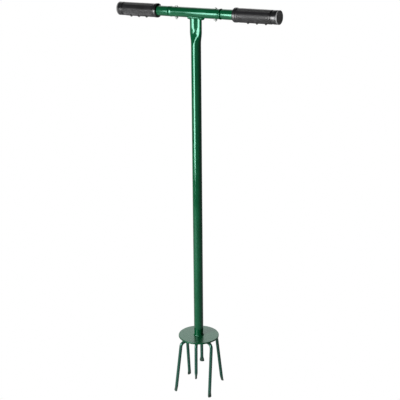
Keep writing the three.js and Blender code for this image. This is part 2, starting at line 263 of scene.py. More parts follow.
def drill(name, radius, low, high, turned=None, at=(0, 0, 0), sides=48):
    """A plain round cutter."""
    clear_selection()
    bpy.ops.mesh.primitive_cylinder_add(
        vertices=sides, radius=radius, depth=high - low, location=(0, 0, (low + high) / 2)
    )
    cutter = open_mesh(name)
    close_mesh()
    place(cutter, turned, at)
    return cutter


# ---------------------------------------------------------------- shaft

RING_EDGES = 88  # edges round the shaft, shared so that each is as long on the flats as on the ends
END_EDGES = 20  # of those, the edges in each of the two round ends
PINCH_ROWS = 14
TAPER_ROWS = 11


def press_outline():
    """Draws the flattened end of the shaft: two flats joined by two round ends."""
    height = bar_axis
    clear_selection()
    bpy.ops.mesh.primitive_plane_add(size=2 * pinch_half_depth, location=(0, 0, height))
    piece = open_mesh("shaft")
    resize((pinch_flat / pinch_half_depth, 1, 1), (0, 0, height))
    bpy.ops.mesh.delete(type="ONLY_FACE")
    select_where("EDGE", lambda middle: abs(middle.x) > TINY)
    bpy.ops.mesh.delete(type="EDGE")
    for side in (1, -1):
        corner = Vector((side * pinch_flat, side * pinch_half_depth, height))
        select_where("VERT", lambda place_: (place_ - corner).length < TINY)
        bpy.ops.mesh.spin(
            steps=END_EDGES, angle=math.pi, center=(corner.x, 0, height), axis=(0, 0, 1)
        )
    bpy.ops.mesh.select_all(action="SELECT")
    bpy.ops.mesh.remove_doubles(threshold=TINY)
    flat_edges = (RING_EDGES - 2 * END_EDGES) // 2
    select_where("EDGE", lambda middle: abs(middle.x) < TINY)
    bpy.ops.mesh.subdivide(number_cuts=flat_edges - 1)
    return piece


def push_in(on_line, face, depth, reach, falloff):
    """Presses a line of points into one flat of the shaft, with the metal round it following."""
    select_where("VERT", lambda place_: place_.y * face > 0 and on_line(place_))
    bpy.ops.transform.translate(
        value=(0, -face * depth, 0),
        use_proportional_edit=True,
        use_proportional_connected=True,
        proportional_edit_falloff=falloff,
        proportional_size=reach,
    )


def press_creases():
    """Grooves both flats down the middle, deep at the top, and rounds the two lobes this leaves."""
    for face in (1, -1):
        for side in (1, -1):
            push_in(
                lambda place_: abs(place_.x - side * pinch_flat) < TINY and place_.z > pinch_end,
                face,
                shoulder_depth,
                shoulder_reach,
                "SMOOTH",
            )
        for length, share in crease_pushes:
            push_in(
                lambda place_: abs(place_.x) < TINY and place_.z > bar_axis - length,
                face,
                crease_depth * share,
                crease_reach,
                "SHARP",
            )


def make_shaft():
    piece = press_outline()
    bpy.ops.mesh.select_all(action="SELECT")
    for _ in range(PINCH_ROWS):
        extrude((0, 0, -pinch_length / PINCH_ROWS))
    taper_end = pinch_end - pinch_taper
    bpy.ops.mesh.primitive_circle_add(
        vertices=RING_EDGES, radius=shaft_radius, fill_type="NOTHING", location=(0, 0, taper_end)
    )
    extrude((0, 0, shaft_foot - taper_end))
    select_where("EDGE", lambda middle: abs(middle.z - pinch_end) < TINY or abs(middle.z - taper_end) < TINY)
    bpy.ops.mesh.bridge_edge_loops(number_cuts=TAPER_ROWS, interpolation="SURFACE", smoothness=0.8)
    press_creases()
    close_mesh()
    apply_modifier(piece, "SOLIDIFY", thickness=shaft_wall, offset=-1)
    reach = 2 * shaft_radius
    seat = drill("seat", bar_radius, -reach, reach, ALONG_X, (0, 0, bar_axis), 96)
    combine(piece, seat, "DIFFERENCE")
    smooth(piece, 40)
    return piece


# ---------------------------------------------------------------- crossbar

bolt_place = (bolt_low.x + bolt_high.x) / 2
bolt_hole = 2.2 * MM
nut_hole = 2.05 * MM
nut_half_flats = 3.5 * MM
bolt_shank = 2 * MM
bolt_head_height = 2 * MM
thread_pitch = 0.7 * MM
thread_depth = 0.28 * MM
thread_turns = 8


def bolt_hole_drill(side):
    reach = 2 * bar_radius
    return drill("bolt hole", bolt_hole, -reach, reach, None, (side * bolt_place, 0, bar_axis), 32)


def make_middle_tube():
    """A tube whose two mouths are belled out to take the arms, with a hole for each bolt."""
    bore = bar_radius - bar_wall
    mouth = bar_half - bell_length
    bell_end = bar_half - bell_length * 0.4
    wide = bar_radius + bell_rise
    wide_bore = bore + bell_rise
    ease = 3 * MM
    piece = turn("crossbar middle tube", [
        (wide, -bar_half, 0),
        (wide, -bell_end, ease),
        (bar_radius, -mouth, ease),
        (bar_radius, -mouth * 0.5, 0),
        (bar_radius, mouth * 0.5, 0),
        (bar_radius, mouth, ease),
        (wide, bell_end, ease),
        (wide, bar_half, bar_lip),
        (wide_bore, bar_half, bar_lip),
        (wide_bore, bell_end, ease),
        (bore, mouth, ease),
        (bore, -mouth, ease),
        (wide_bore, -bell_end, ease),
        (wide_bore, -bar_half, 0),
        (wide, -bar_half, 0),
    ], 96, ALONG_X, (0, 0, bar_axis))
    for side in (1, -1):
        combine(piece, bolt_hole_drill(side), "DIFFERENCE")
    smooth(piece, 40)
    return piece


def make_arm():
    """The right arm: its inner end is swaged down to slide into the middle tube."""
    bore = bar_radius - bar_wall
    spigot = bore - arm_clearance
    spigot_bore = spigot - bar_wall
    full = arm_shoulder + arm_shoulder_length
    ease = 2 * MM
    piece = turn("arm tube right", [
        (spigot, arm_start, 0),
        (spigot, arm_shoulder, ease / 2),
        (bar_radius, full, ease),
        (bar_radius, arm_end, bar_lip),
        (bore, arm_end, bar_lip),
        (bore, full, ease),
        (spigot_bore, arm_shoulder, ease),
        (spigot_bore, arm_start, 0),
        (spigot, arm_start, 0),
    ], 96, ALONG_X, (0, 0, bar_axis))
    combine(piece, bolt_hole_drill(1), "DIFFERENCE")
    smooth(piece, 40)
    return piece


def make_bolt():
    """A round-headed bolt through the crossbar, with its thread showing below the nut."""
    head = (bolt_high.x - bolt_low.x) / 2
    seat = bolt_high.z - bolt_head_height
    root = bolt_shank - thread_depth
    outline = [(0, bolt_low.z, 0), (root, bolt_low.z, 0)]
    for i in range(thread_turns):
        crest = bolt_low.z + (i + 0.5) * thread_pitch
        outline.append((bolt_shank, crest, 0))
        outline.append((root, crest + thread_pitch / 2, 0))
    outline += [
        (bolt_shank, outline[-1][1] + thread_depth, 0),
        (bolt_shank, seat, 0),
        (head * 0.98, seat, 0.1 * MM),
        (head, seat + bolt_head_height * 0.2, 0.3 * MM),
        (head * 0.82, seat + bolt_head_height * 0.72, 1.2 * MM),
        (head * 0.45, seat + bolt_head_height * 0.98, 2.5 * MM),
        (0, bolt_high.z, 0),
    ]
    piece = turn("arm bolt right", outline, 48, None, (bolt_place, 0, 0))
    smooth(piece, 50)
    return piece


def make_nut():
    """A hexagon nut with its corners turned off at both faces."""
    corner = nut_half_flats / math.cos(math.pi / 6)
    height = nut_high.z - nut_low.z
    middle = (nut_high.z + nut_low.z) / 2
    clear_selection()
    bpy.ops.mesh.primitive_cylinder_add(
        vertices=6, radius=corner, depth=height, location=(bolt_place, 0, middle)
    )
    piece = open_mesh("arm nut right")
    close_mesh()
    face = nut_half_flats * 0.94
    outside = corner * 1.02
    chamfer = height * 0.2
    cone = turn("nut chamfer", [
        (0, nut_low.z, 0),
        (face, nut_low.z, 0.15 * MM),
        (outside, nut_low.z + chamfer, 0.2 * MM),
        (outside, nut_high.z - chamfer, 0.2 * MM),
        (face, nut_high.z, 0.15 * MM),
        (0, nut_high.z, 0),
    ], 72, None, (bolt_place, 0, 0))
    combine(piece, cone, "INTERSECT")
    hole = drill("nut bore", nut_hole, nut_low.z - MM, nut_high.z + MM, None, (bolt_place, 0, 0), 48)
    combine(piece, hole, "DIFFERENCE")
    apply_modifier(piece, "BEVEL", width=0.12 * MM, segments=2, limit_method="ANGLE")
    apply_modifier(piece, "WELD", merge_threshold=WELD_GAP)
    smooth(piece, 40)
    return piece


# ---------------------------------------------------------------- grips

collar_radius = grip_high.z - bar_axis
collar_length = 9 * MM
grip_radius = collar_radius - 0.9 * MM
grip_bore = bar_radius + 0.3 * MM
grip_start = grip_low.x
grip_end = grip_high.x
rib_rise = 2.6 * MM
rib_thickness = 4.6 * MM
rib_turn = math.radians(24)
rib_places = (33.5 * MM, 55.5 * MM, 77.5 * MM)  # from the inner end of the grip
groove_place = grip_end - 12 * MM
groove_depth = 1.4 * MM
groove_half = 2 * MM
diamonds_round = 44  # as many as would go round the whole grip
diamond_length = 3.3 * MM
field_margin = 1.5 * MM  # plain grip left between the diamonds and the collar or groove
mould_line_angle = math.radians(44)  # above level, seen from the end of the grip


def grip_blank():
    """Outline of the right grip: collar, plain body with rows for the diamonds, groove and end."""
    collar_end = grip_start + collar_length
    first_row = collar_end + field_margin
    last_row = groove_place - groove_half - field_margin
    rows = round((last_row - first_row) / diamond_length)
    outline = [
        (0, grip_start, 0),
        (collar_radius, grip_start, 1.6 * MM),
        (collar_radius, collar_end - 2.4 * MM, 1.2 * MM),
        (grip_radius, collar_end, 1.2 * MM),
    ]
    for row in range(rows + 1):
        outline.append((grip_radius, first_row + (last_row - first_row) * row / rows, 0))
    outline += [
        (grip_radius, groove_place - groove_half, 0.8 * MM),
        (grip_radius - groove_depth, groove_place - groove_half * 0.4, 0.5 * MM),
        (grip_radius - groove_depth, groove_place + groove_half * 0.4, 0.5 * MM),
        (grip_radius, groove_place + groove_half, 0.8 * MM),
        (grip_radius, grip_end, 1.2 * MM),
        (0, grip_end, 0),
    ]
    piece = turn("grip right", outline, diamonds_round, ALONG_X, (0, 0, bar_axis))
    return piece, first_row, last_row


def cut_diamonds(piece, first_row, last_row):
    """Raises a field of small diamonds on the lower side of a grip."""
    pick(piece)
    bpy.ops.object.mode_set(mode="EDIT")
    highest = bar_axis + 0.12 * grip_radius

    def in_field(middle):
        return first_row - TINY < middle.x < last_row + TINY and middle.z < highest

    select_where("FACE", in_field)
    bpy.ops.mesh.poke(offset=0)
    joining = math.radians(60)
    bpy.ops.mesh.tris_convert_to_quads(face_threshold=joining, shape_threshold=joining)
    bpy.ops.mesh.inset(thickness=0.42 * MM, depth=0.42 * MM, use_individual=True)
    bpy.ops.object.mode_set(mode="OBJECT")


def raise_mould_lines(piece, first_row, last_row):
    """Raises a thin line along the front and back of a grip, above the diamonds."""
    pick(piece)
    bpy.ops.object.mode_set(mode="EDIT")
    slot_angle = math.tau / diamonds_round
    line_angle = round(mould_line_angle / slot_angle - 0.5) * slot_angle + slot_angle / 2

    def on_line(middle):
        if not first_row < middle.x < last_row:
            return False
        climb = math.atan2(middle.z - bar_axis, abs(middle.y))
        return abs(climb - line_angle) < slot_angle / 2

    select_where("FACE", on_line)
    bpy.ops.mesh.inset(thickness=0.55 * MM, depth=0.45 * MM)
    bpy.ops.object.mode_set(mode="OBJECT")


def make_grip():
    piece, first_row, last_row = grip_blank()
    cut_diamonds(piece, first_row, last_row)
    raise_mould_lines(piece, first_row, last_row)
    for place_along in rib_places:
        clear_selection()
        bpy.ops.mesh.primitive_torus_add(
            major_radius=grip_radius - rib_thickness / 2,
            minor_radius=rib_thickness / 2,
            major_segments=96,
            minor_segments=20,
        )
        rib = open_mesh("rib")
        close_mesh()
        leaning = Matrix.Rotation(rib_turn, 3, "Z") @ ALONG_X
        place(rib, leaning, (grip_start + place_along, 0, bar_axis - rib_rise))
        combine(piece, rib, "UNION")
    beyond = 50 * MM
    through = drill(
        "grip bore", grip_bore, grip_start - beyond, grip_end + beyond, ALONG_X, (0, 0, bar_axis), 96
    )
    combine(piece, through, "DIFFERENCE")
    smooth(piece, 32)
    return piece


def make_cap():
    """End plug of the right grip: a rounded disc with a shallow dished face, on a plug in the tube."""
    disc = cap_high.y
    spigot = bar_radius - bar_wall - 0.4 * MM
    inner = grip_end + 0.3 * MM
    outer = cap_high.x
    piece = turn("grip cap right", [
        (0, cap_low.x, 0),
        (spigot, cap_low.x, 0.9 * MM),
        (spigot, inner, 0),
        (disc - 0.3 * MM, inner, 0.2 * MM),
        (disc, inner + 0.5 * MM, 0.4 * MM),
        (disc, outer, 1.3 * MM),
        (disc - 2.4 * MM, outer, 0.5 * MM),
        (disc - 3.0 * MM, outer - 0.7 * MM, 0.4 * MM),
        (3.2 * MM, outer - 0.5 * MM, 0.3 * MM),
        (2.6 * MM, outer - 0.9 * MM, 0.2 * MM),
        (0, outer - 0.9 * MM, 0),
    ], 96, ALONG_X, (0, 0, bar_axis))
    smooth(piece, 40)
    return piece


# ---------------------------------------------------------------- plate


def make_plate():
    """The round plate, pressed from sheet, with rolled edges."""
    half_way = plate_radius * 0.5
    near_rim = plate_radius * 0.97
    piece = turn("ground plate", [
        (0, plate_bottom, 0),
        (half_way, plate_bottom, 0),
        (near_rim, plate_bottom, 0),
        (plate_radius, plate_bottom, plate_edge),
        (plate_radius, plate_top, plate_edge),
        (near_rim, plate_top, 0),
        (half_way, plate_top, 0),
        (0, plate_top, 0),
    ], 144)
    smooth(piece, 40)
    return piece


# ---------------------------------------------------------------- tines

tip_length = 15 * MM
outer_tip_half_width = 5.2 * MM
inner_tip_half_width = 6 * MM
tip_half_thickness = 2.5 * MM
tip_kick = 1.5 * MM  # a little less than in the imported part, so that the tip stays inside its box
tip_flat_from = 0.75  # share of the tip's length after which it is as flat as it gets
tip_point = 0.85  # last narrowing across the flat
tip_thinning = 0.95  # last thinning of the flat
tip_steps = 10
tip_hang = 0.4 * MM  # the end is cut square to the rod, so one side of it hangs below its middle
rod_sides = 24
elbow_steps = 12
shank_rows = 6
leg_chamfer = 0.2 * rod_radius


def make_tine(name, leg_start, elbow, tip, twist, tip_height, half_width, flat_turned=False):
    """A rod with a level leg along +X, an elbow, a straight shank and a hammered flat end."""
    corner = Vector((elbow, 0, leg_axis))
    end = Vector((tip * math.cos(twist), tip * math.sin(twist), tip_height + tip_hang))
    along = Vector((1, 0, 0))
    way = (end - corner).normalized()
    turning = along.angle(way)
    setback = rod_bend * math.tan(turning / 2)
    bend_start = corner - along * setback
    bend_end = corner + way * setback
    centre = corner + (way - along).normalized() * (rod_bend / math.cos(turning / 2))
    clear_selection()
    bpy.ops.mesh.primitive_circle_add(
        vertices=rod_sides,
        radius=rod_radius - leg_chamfer,
        fill_type="NOTHING",
        location=(leg_start, 0, leg_axis),
        rotation=(0, math.pi / 2, 0),
    )
    piece = open_mesh(name)
    extrude((leg_chamfer, 0, 0))
    here = Vector((leg_start + leg_chamfer, 0, leg_axis))
    widening = rod_radius / (rod_radius - leg_chamfer)
    resize((1, widening, widening), here)
    extrude(bend_start - here)
    axis = tuple(along.cross(way))
    bpy.ops.mesh.spin(steps=elbow_steps, angle=-turning, center=tuple(centre), axis=axis)
    shank_end = end - way * tip_length
    for _ in range(shank_rows):
        extrude((shank_end - bend_end) / shank_rows)
    forge_tip(shank_end, end, half_width, flat_turned)
    bpy.ops.mesh.edge_face_add()
    bpy.ops.mesh.inset(thickness=0.5 * MM)
    lowest = leg_axis - 2 * rod_radius
    select_where("VERT", lambda place_: abs(place_.x - leg_start) < TINY and place_.z > lowest)
    bpy.ops.mesh.edge_face_add()
    bpy.ops.mesh.inset(thickness=0.8 * MM)
    close_mesh()
    apply_modifier(piece, "SUBSURF", levels=1, render_levels=1)
    return piece


def forge_tip(start, end, half_width, flat_turned):
    """Draws the end of a rod out into a spade, wider than the rod, and cuts it to a blunt point."""
    here = start
    wide = rod_radius
    thin = rod_radius
    for step in range(1, tip_steps + 1):
        share = step / tip_steps
        kick = Vector((tip_kick * share * share, 0, 0))
        there = start + (end - start) * share + kick
        extrude(there - here)
        here = there
        flat = min(share / tip_flat_from, 1)
        flat = flat * flat * (3 - 2 * flat)
        new_wide = rod_radius + (half_width - rod_radius) * flat
        new_thin = rod_radius + (tip_half_thickness - rod_radius) * flat
        if step == tip_steps:
            new_wide *= tip_point
            new_thin *= tip_thinning
        change = (new_thin / thin, new_wide / wide, 1)
        if flat_turned:
            change = (change[1], change[0], 1)
        resize(change, here)
        wide = new_wide
        thin = new_thin


# ---------------------------------------------------------------- weld beads

coin_length = 1.9 * MM  # spacing of the ripples along a bead
coin_lean = math.radians(18)
bead_crease = 80  # degrees, so that only the cut edge of a bead stays sharp


def lay_bead(name, places, voxel=0.45 * MM):
    """Lays a row of overlapping coins of weld metal and melts them into one rippled bead.

    Each place is (centre, direction of travel, half width, half height).
    """
    clear_selection()
    coins = []
    for centre, travel, half_width, half_height in places:
        bpy.ops.mesh.primitive_uv_sphere_add(segments=14, ring_count=9, radius=1)
        coin = bpy.context.object
        heading = Vector(travel).normalized()
        turned = heading.to_track_quat("X", "Z").to_matrix().to_4x4()
        sized = Matrix.Diagonal((coin_length * 1.05, half_width, half_height, 1))
        lean = Matrix.Rotation(coin_lean, 4, "Y")
        coin.matrix_world = Matrix.Translation(centre) @ turned @ lean @ sized
        coins.append(coin)
    clear_selection()
    for coin in coins:
        coin.select_set(True)
    bpy.context.view_layer.objects.active = coins[0]
    bpy.ops.object.join()
    bead = open_mesh(name)
    bpy.ops.object.mode_set(mode="OBJECT")
    apply_modifier(bead, "REMESH", mode="VOXEL", voxel_size=voxel)
    apply_modifier(bead, "SMOOTH", factor=0.5, iterations=2)
    return bead


def cut_flat(piece, height, keep_above):
    """Cuts a piece off at a height and closes the cut."""
    pick(piece)
    bpy.ops.object.mode_set(mode="EDIT")
    bpy.ops.mesh.select_all(action="SELECT")
    bpy.ops.mesh.bisect(
        plane_co=(0, 0, height),
        plane_no=(0, 0, 1),
        use_fill=True,
        clear_inner=keep_above,
        clear_outer=not keep_above,
    )
    bpy.ops.object.mode_set(mode="OBJECT")


def make_shaft_weld():
    """The bead round the foot of the shaft."""
    radius = shaft_radius + 0.5 * MM
    count = round(math.tau * radius / coin_length)
    places = []
    for i in range(count):
        angle = math.tau * i / count
        wander = 0.18 * MM * math.sin(5 * angle) + 0.12 * MM * math.sin(11 * angle + 1)
        centre = Vector((radius * math.cos(angle), radius * math.sin(angle), plate_top + 0.5 * MM))
        travel = Vector((-math.sin(angle), math.cos(angle), 0))
        places.append((centre, travel, 1.3 * MM + wander, 1.7 * MM + wander))
    bead = lay_bead("shaft weld", places)
    cut_flat(bead, plate_top, True)
    core_low = plate_top - 10 * MM
    core_high = plate_top + 20 * MM
    core = drill("shaft core", shaft_radius - 0.3 * MM, core_low, core_high, sides=RING_EDGES)
    combine(bead, core, "DIFFERENCE")
    smooth(bead, bead_crease)
    return bead


def pressed_point(distance, outset=0.0):
    """A point on the flattened end of the shaft, a distance round from its right side, and the way round."""
    radius = pinch_half_depth
    quarter_arc = math.pi / 2 * radius
    around = 4 * (quarter_arc + pinch_flat)
    distance = distance % around
    mirrored_y = distance > around / 2
    if mirrored_y:
        distance = around - distance
    mirrored_x = distance > around / 4
    if mirrored_x:
        distance = around / 2 - distance
    if distance < quarter_arc:
        angle = distance / radius
        x = pinch_flat + (radius + outset) * math.cos(angle)
        y = (radius + outset) * math.sin(angle)
    else:
        x = pinch_flat - (distance - quarter_arc)
        y = radius + outset
    return Vector((-x if mirrored_x else x, -y if mirrored_y else y, 0)), around


def make_crossbar_weld():
    """The bead round the flattened end of the shaft, in the corner under the crossbar."""
    around = pressed_point(0)[1]
    outset = 0.9 * MM
    count = round(around / coin_length)
    places = []
    for i in range(count):
        distance = around * i / count
        point = pressed_point(distance, outset)[0]
        beyond = pressed_point(distance + MM, outset)[0]
        seat = math.sqrt(bar_radius ** 2 - point.y ** 2)
        endness = max(0.0, abs(point.x) - pinch_flat) / pinch_half_depth
        angle = math.tau * i / count
        wander = 0.25 * MM * math.sin(7 * angle) + 0.15 * MM * math.sin(13 * angle)
        push = Vector((math.copysign(1.3 * MM * endness, point.x), 0, 0))
        centre = point + push + Vector((0, 0, bar_axis - seat - 0.3 * MM))
        half_width = 2.5 * MM + 1.6 * MM * endness + wander
        half_height = 3.3 * MM + 0.9 * MM * endness + wander
        places.append((centre, beyond - point, half_width, half_height))
    bead = lay_bead("crossbar weld", places)
    reach = 3 * shaft_radius
    bar = drill("bar core", bar_radius - 0.2 * MM, -reach, reach, ALONG_X, (0, 0, bar_axis), 96)
    combine(bead, bar, "DIFFERENCE")
    smooth(bead, bead_crease)
    return bead


def make_tine_weld(name, leg_start, elbow):
    """The bead that runs up one side of a leg, round its end and back along the other side."""
    straight = elbow - rod_bend - leg_start
    offset = rod_radius + 1.0 * MM
    bend = math.pi * offset
    total = 2 * straight + bend
    count = round(total / coin_length)
    height = plate_bottom - 1.5 * MM
    places = []
    for i in range(count + 1):
        distance = total * i / count
        if distance < straight:
            centre = Vector((leg_start + straight - distance, offset, height))
            travel = Vector((-1, 0, 0))
        elif distance < straight + bend:
            angle = math.pi / 2 + (distance - straight) / offset
            centre = Vector((leg_start + offset * math.cos(angle), offset * math.sin(angle), height))
            travel = Vector((-math.sin(angle), math.cos(angle), 0))
        else:
            centre = Vector((leg_start + distance - straight - bend, -offset, height))
            travel = Vector((1, 0, 0))
        wander = 0.2 * MM * math.sin(1.9 * i) + 0.12 * MM * math.sin(0.7 * i)
        places.append((centre, travel, 2.4 * MM + wander, 2.5 * MM + wander))
    bead = lay_bead(name, places, voxel=0.5 * MM)
    cut_flat(bead, plate_bottom, False)
    smooth(bead, bead_crease)
    return bead


# ---------------------------------------------------------------- shared shader effects


def node_group(name, inputs, outputs):
    """A shader node group with named sockets; each socket is (name, kind, starting value)."""
    group = bpy.data.node_groups.new(name, "ShaderNodeTree")
    for label, kind, value in inputs:
        socket = group.interface.new_socket(label, in_out="INPUT", socket_type=kind)
        if value is not None:
            socket.default_value = value
    for label, kind in outputs:
        group.interface.new_socket(label, in_out="OUTPUT", socket_type=kind)
    way_in = group.nodes.new("NodeGroupInput")
    way_out = group.nodes.new("NodeGroupOutput")
    return group, way_in, way_out


def add_node(tree, kind, **settings):
    """Adds a node and sets its own properties, such as its operation."""
    node = tree.nodes.new(kind)
    for setting, value in settings.items():
        setattr(node, setting, value)
    return node


def math_node(tree, operation, first, second=None, clamp=False):
    node = tree.nodes.new("ShaderNodeMath")
    node.operation = operation
    node.use_clamp = clamp
    for socket, value in zip(node.inputs, (first, second)):
        if value is None:
            continue
        if isinstance(value, bpy.types.NodeSocket):
            tree.links.new(value, socket)
        else:
            socket.default_value = value
    return node.outputs[0]


def between(tree, value, low, high, to_low=0.0, to_high=1.0):
    """Maps a value smoothly from one range to another."""
    node = tree.nodes.new("ShaderNodeMapRange")
    node.interpolation_type = "SMOOTHSTEP"
    tree.links.new(value, node.inputs["Value"])
    node.inputs["From Min"].default_value = low
    node.inputs["From Max"].default_value = high
    node.inputs["To Min"].default_value = to_low
    node.inputs["To Max"].default_value = to_high
    return node.outputs["Result"]


def axes(tree, vector):
    """The X, Y and Z of a vector."""
    split = tree.nodes.new("ShaderNodeSeparateXYZ")
    tree.links.new(vector, split.inputs[0])
    return split.outputs


def noise(tree, vector, scale, detail=3.0, roughness=0.5):
    node = tree.nodes.new("ShaderNodeTexNoise")
    tree.links.new(vector, node.inputs["Vector"])
    if isinstance(scale, bpy.types.NodeSocket):
        tree.links.new(scale, node.inputs["Scale"])
    else:
        node.inputs["Scale"].default_value = scale
    node.inputs["Detail"].default_value = detail
    node.inputs["Roughness"].default_value = roughness
    return node.outputs["Fac"]


def mix_colours(tree, share, first, second):
    node = tree.nodes.new("ShaderNodeMix")
    node.data_type = "RGBA"
    factor, colour_a, colour_b = node.inputs[0], node.inputs[6], node.inputs[7]
    for socket, value in ((factor, share), (colour_a, first), (colour_b, second)):
        if isinstance(value, bpy.types.NodeSocket):
            tree.links.new(value, socket)
        else:
            socket.default_value = value
    return node.outputs[2]


def edge_wear_group():
    """Mask of the outside corners of a piece, broken up by noise."""
    group, way_in, way_out = node_group(
        "edge wear",
        [
            ("Vector", "NodeSocketVector", None),
            ("Amount", "NodeSocketFloat", 0.5),
            ("Patch Scale", "NodeSocketFloat", 120.0),
        ],
        [("Mask", "NodeSocketFloat")],
    )
    bevel = add_node(group, "ShaderNodeBevel", samples=6)
    bevel.inputs["Radius"].default_value = 0.7 * MM
    surface = add_node(group, "ShaderNodeNewGeometry")
    dot = add_node(group, "ShaderNodeVectorMath", operation="DOT_PRODUCT")
    group.links.new(bevel.outputs["Normal"], dot.inputs[0])
    group.links.new(surface.outputs["Normal"], dot.inputs[1])
    corner = between(group, dot.outputs["Value"], 0.985, 0.86)
    patches = noise(group, way_in.outputs["Vector"], way_in.outputs["Patch Scale"])
    patches = between(group, patches, 0.42, 0.62)
    worn = math_node(group, "MULTIPLY", corner, patches)
    mask = math_node(group, "MULTIPLY", worn, way_in.outputs["Amount"], clamp=True)
    group.links.new(mask, way_out.inputs["Mask"])
    return group


def orange_peel_group():
    """Gentle waves of a sprayed and baked coat, as a height."""
    group, way_in, way_out = node_group(
        "orange peel",
        [("Vector", "NodeSocketVector", None), ("Size", "NodeSocketFloat", 420.0)],
        [("Height", "NodeSocketFloat"), ("Mottle", "NodeSocketFloat")],
    )
    waves = noise(group, way_in.outputs["Vector"], way_in.outputs["Size"], 2.0)
    mottle = noise(group, way_in.outputs["Vector"], 26.0, 4.0)
    group.links.new(waves, way_out.inputs["Height"])
    group.links.new(mottle, way_out.inputs["Mottle"])
    return group


def dust_group():
    """Mask of fine dust that settles on faces that look up."""
    group, way_in, way_out = node_group(
        "dust",
        [("Vector", "NodeSocketVector", None), ("Amount", "NodeSocketFloat", 0.3)],
        [("Mask", "NodeSocketFloat")],
    )
    surface = add_node(group, "ShaderNodeNewGeometry")
    upward = between(group, axes(group, surface.outputs["Normal"])["Z"], 0.3, 1.0)
    specks = between(group, noise(group, way_in.outputs["Vector"], 340.0, 6.0, 0.7), 0.45, 0.75)
    settled = math_node(group, "MULTIPLY", upward, specks)
    mask = math_node(group, "MULTIPLY", settled, way_in.outputs["Amount"], clamp=True)
    group.links.new(mask, way_out.inputs["Mask"])
    return group


def grain_group():
    """Fine grain of a moulded plastic, as a height, with a faint change of tone."""
    group, way_in, way_out = node_group(
        "moulded grain",
        [("Vector", "NodeSocketVector", None), ("Size", "NodeSocketFloat", 1500.0)],
        [("Height", "NodeSocketFloat"), ("Tone", "NodeSocketFloat")],
    )
    pits = noise(group, way_in.outputs["Vector"], way_in.outputs["Size"], 3.0, 0.6)
    tone = noise(group, way_in.outputs["Vector"], 60.0, 3.0)
    group.links.new(pits, way_out.inputs["Height"])
    group.links.new(tone, way_out.inputs["Tone"])
    return group


edge_wear = edge_wear_group()
orange_peel = orange_peel_group()
dust = dust_group()
grain = grain_group()

# ---------------------------------------------------------------- materials


def start_material(name):
    material = bpy.data.materials.new(name)
    material.use_nodes = True
    tree = material.node_tree
    shader = tree.nodes["Principled BSDF"]
    where = tree.nodes.new("ShaderNodeTexCoord").outputs["Object"]
    return material, tree, shader, where


def use_group(tree, group, where, **values):
    node = tree.nodes.new("ShaderNodeGroup")
    node.node_tree = group
    tree.links.new(where, node.inputs["Vector"])
    for label, value in values.items():
        node.inputs[label.replace("_", " ")].default_value = value
    return node


def link_finish(tree, shader, colour, rough, height, depth):
    """Links a finish to its shader, with the height of its grain as a bump of the given depth."""
    bump = tree.nodes.new("ShaderNodeBump")
    bump.inputs["Strength"].default_value = 1.0
    bump.inputs["Distance"].default_value = depth
    tree.links.new(height, bump.inputs["Height"])
    tree.links.new(bump.outputs["Normal"], shader.inputs["Normal"])
    tree.links.new(colour, shader.inputs["Base Color"])
    tree.links.new(rough, shader.inputs["Roughness"])


coat_greens = ((0.001, 0.041, 0.014, 1), (0.002, 0.050, 0.018, 1))
rod_greens = ((0.010, 0.046, 0.032, 1), (0.015, 0.056, 0.040, 1))
worn_green = (0.020, 0.050, 0.036, 1)
dust_colour = (0.30, 0.33, 0.30, 1)
tip_dark_colour = (0.032, 0.037, 0.031, 1)
coat_highlight = (0.42, 1.0, 0.76, 1)
coat_ior = 1.52
plate_gloss = 0.24  # lowest roughness of the coat on the plate
tine_gloss = 0.22
tip_dark_ragged = 14 * MM
tip_dark_full = 12 * MM  # above a tine's end; below this, less the ragged edge, the coat is at its darkest
tip_dark_none = 26 * MM
grip_blacks = ((0.007, 0.007, 0.0075, 1), (0.011, 0.011, 0.012, 1))
grip_worn = (0.045, 0.045, 0.046, 1)
cap_greys = ((0.14, 0.14, 0.141, 1), (0.16, 0.16, 0.161, 1))
cap_worn = (0.04, 0.04, 0.04, 1)
plastic_ior = 1.5
polish_fade = 2 * MM
zinc_greys = ((0.48, 0.50, 0.49, 1), (0.62, 0.64, 0.62, 1))
zinc_worn = (0.7, 0.7, 0.68, 1)


def powder_coat(name, greens=coat_greens, gloss_low=0.11, darkened_from=None):
    """Glossy green powder coat. Given a tine's lowest height, it turns darker, greyer and duller towards it.
    """
    material, tree, shader, where = start_material(name)
    peel = use_group(tree, orange_peel, where, Size=420.0)
    wear = use_group(tree, edge_wear, where, Amount=0.55, Patch_Scale=160.0)
    settled = use_group(tree, dust, where, Amount=0.02)
    mottle = between(tree, peel.outputs["Mottle"], 0.35, 0.65)
    colour = mix_colours(tree, mottle, *greens)
    colour = mix_colours(tree, wear.outputs["Mask"], colour, worn_green)
    colour = mix_colours(tree, settled.outputs["Mask"], colour, dust_colour)
    gloss = between(tree, peel.outputs["Mottle"], 0.3, 0.7, gloss_low, gloss_low + 0.05)
    gloss = math_node(tree, "ADD", gloss, math_node(tree, "MULTIPLY", wear.outputs["Mask"], 0.3))
    # Towards the end of a tine the coat is made darker, greyer and duller by height above its lowest point,
    # with a ragged edge.
    if darkened_from is not None:
        ragged = math_node(tree, "MULTIPLY", noise(tree, where, 160.0, 4.0), tip_dark_ragged)
        height = math_node(tree, "ADD", axes(tree, where)["Z"], ragged)
        tip_dark = between(tree, height, darkened_from + tip_dark_none, darkened_from + tip_dark_full)
        colour = mix_colours(tree, math_node(tree, "MULTIPLY", tip_dark, 0.75), colour, tip_dark_colour)
        gloss = math_node(tree, "ADD", gloss, math_node(tree, "MULTIPLY", tip_dark, 0.22))
    shader.inputs["IOR"].default_value = coat_ior
    shader.inputs["Specular Tint"].default_value = coat_highlight
    link_finish(tree, shader, colour, gloss, peel.outputs["Height"], 0.005 * MM)
    return material


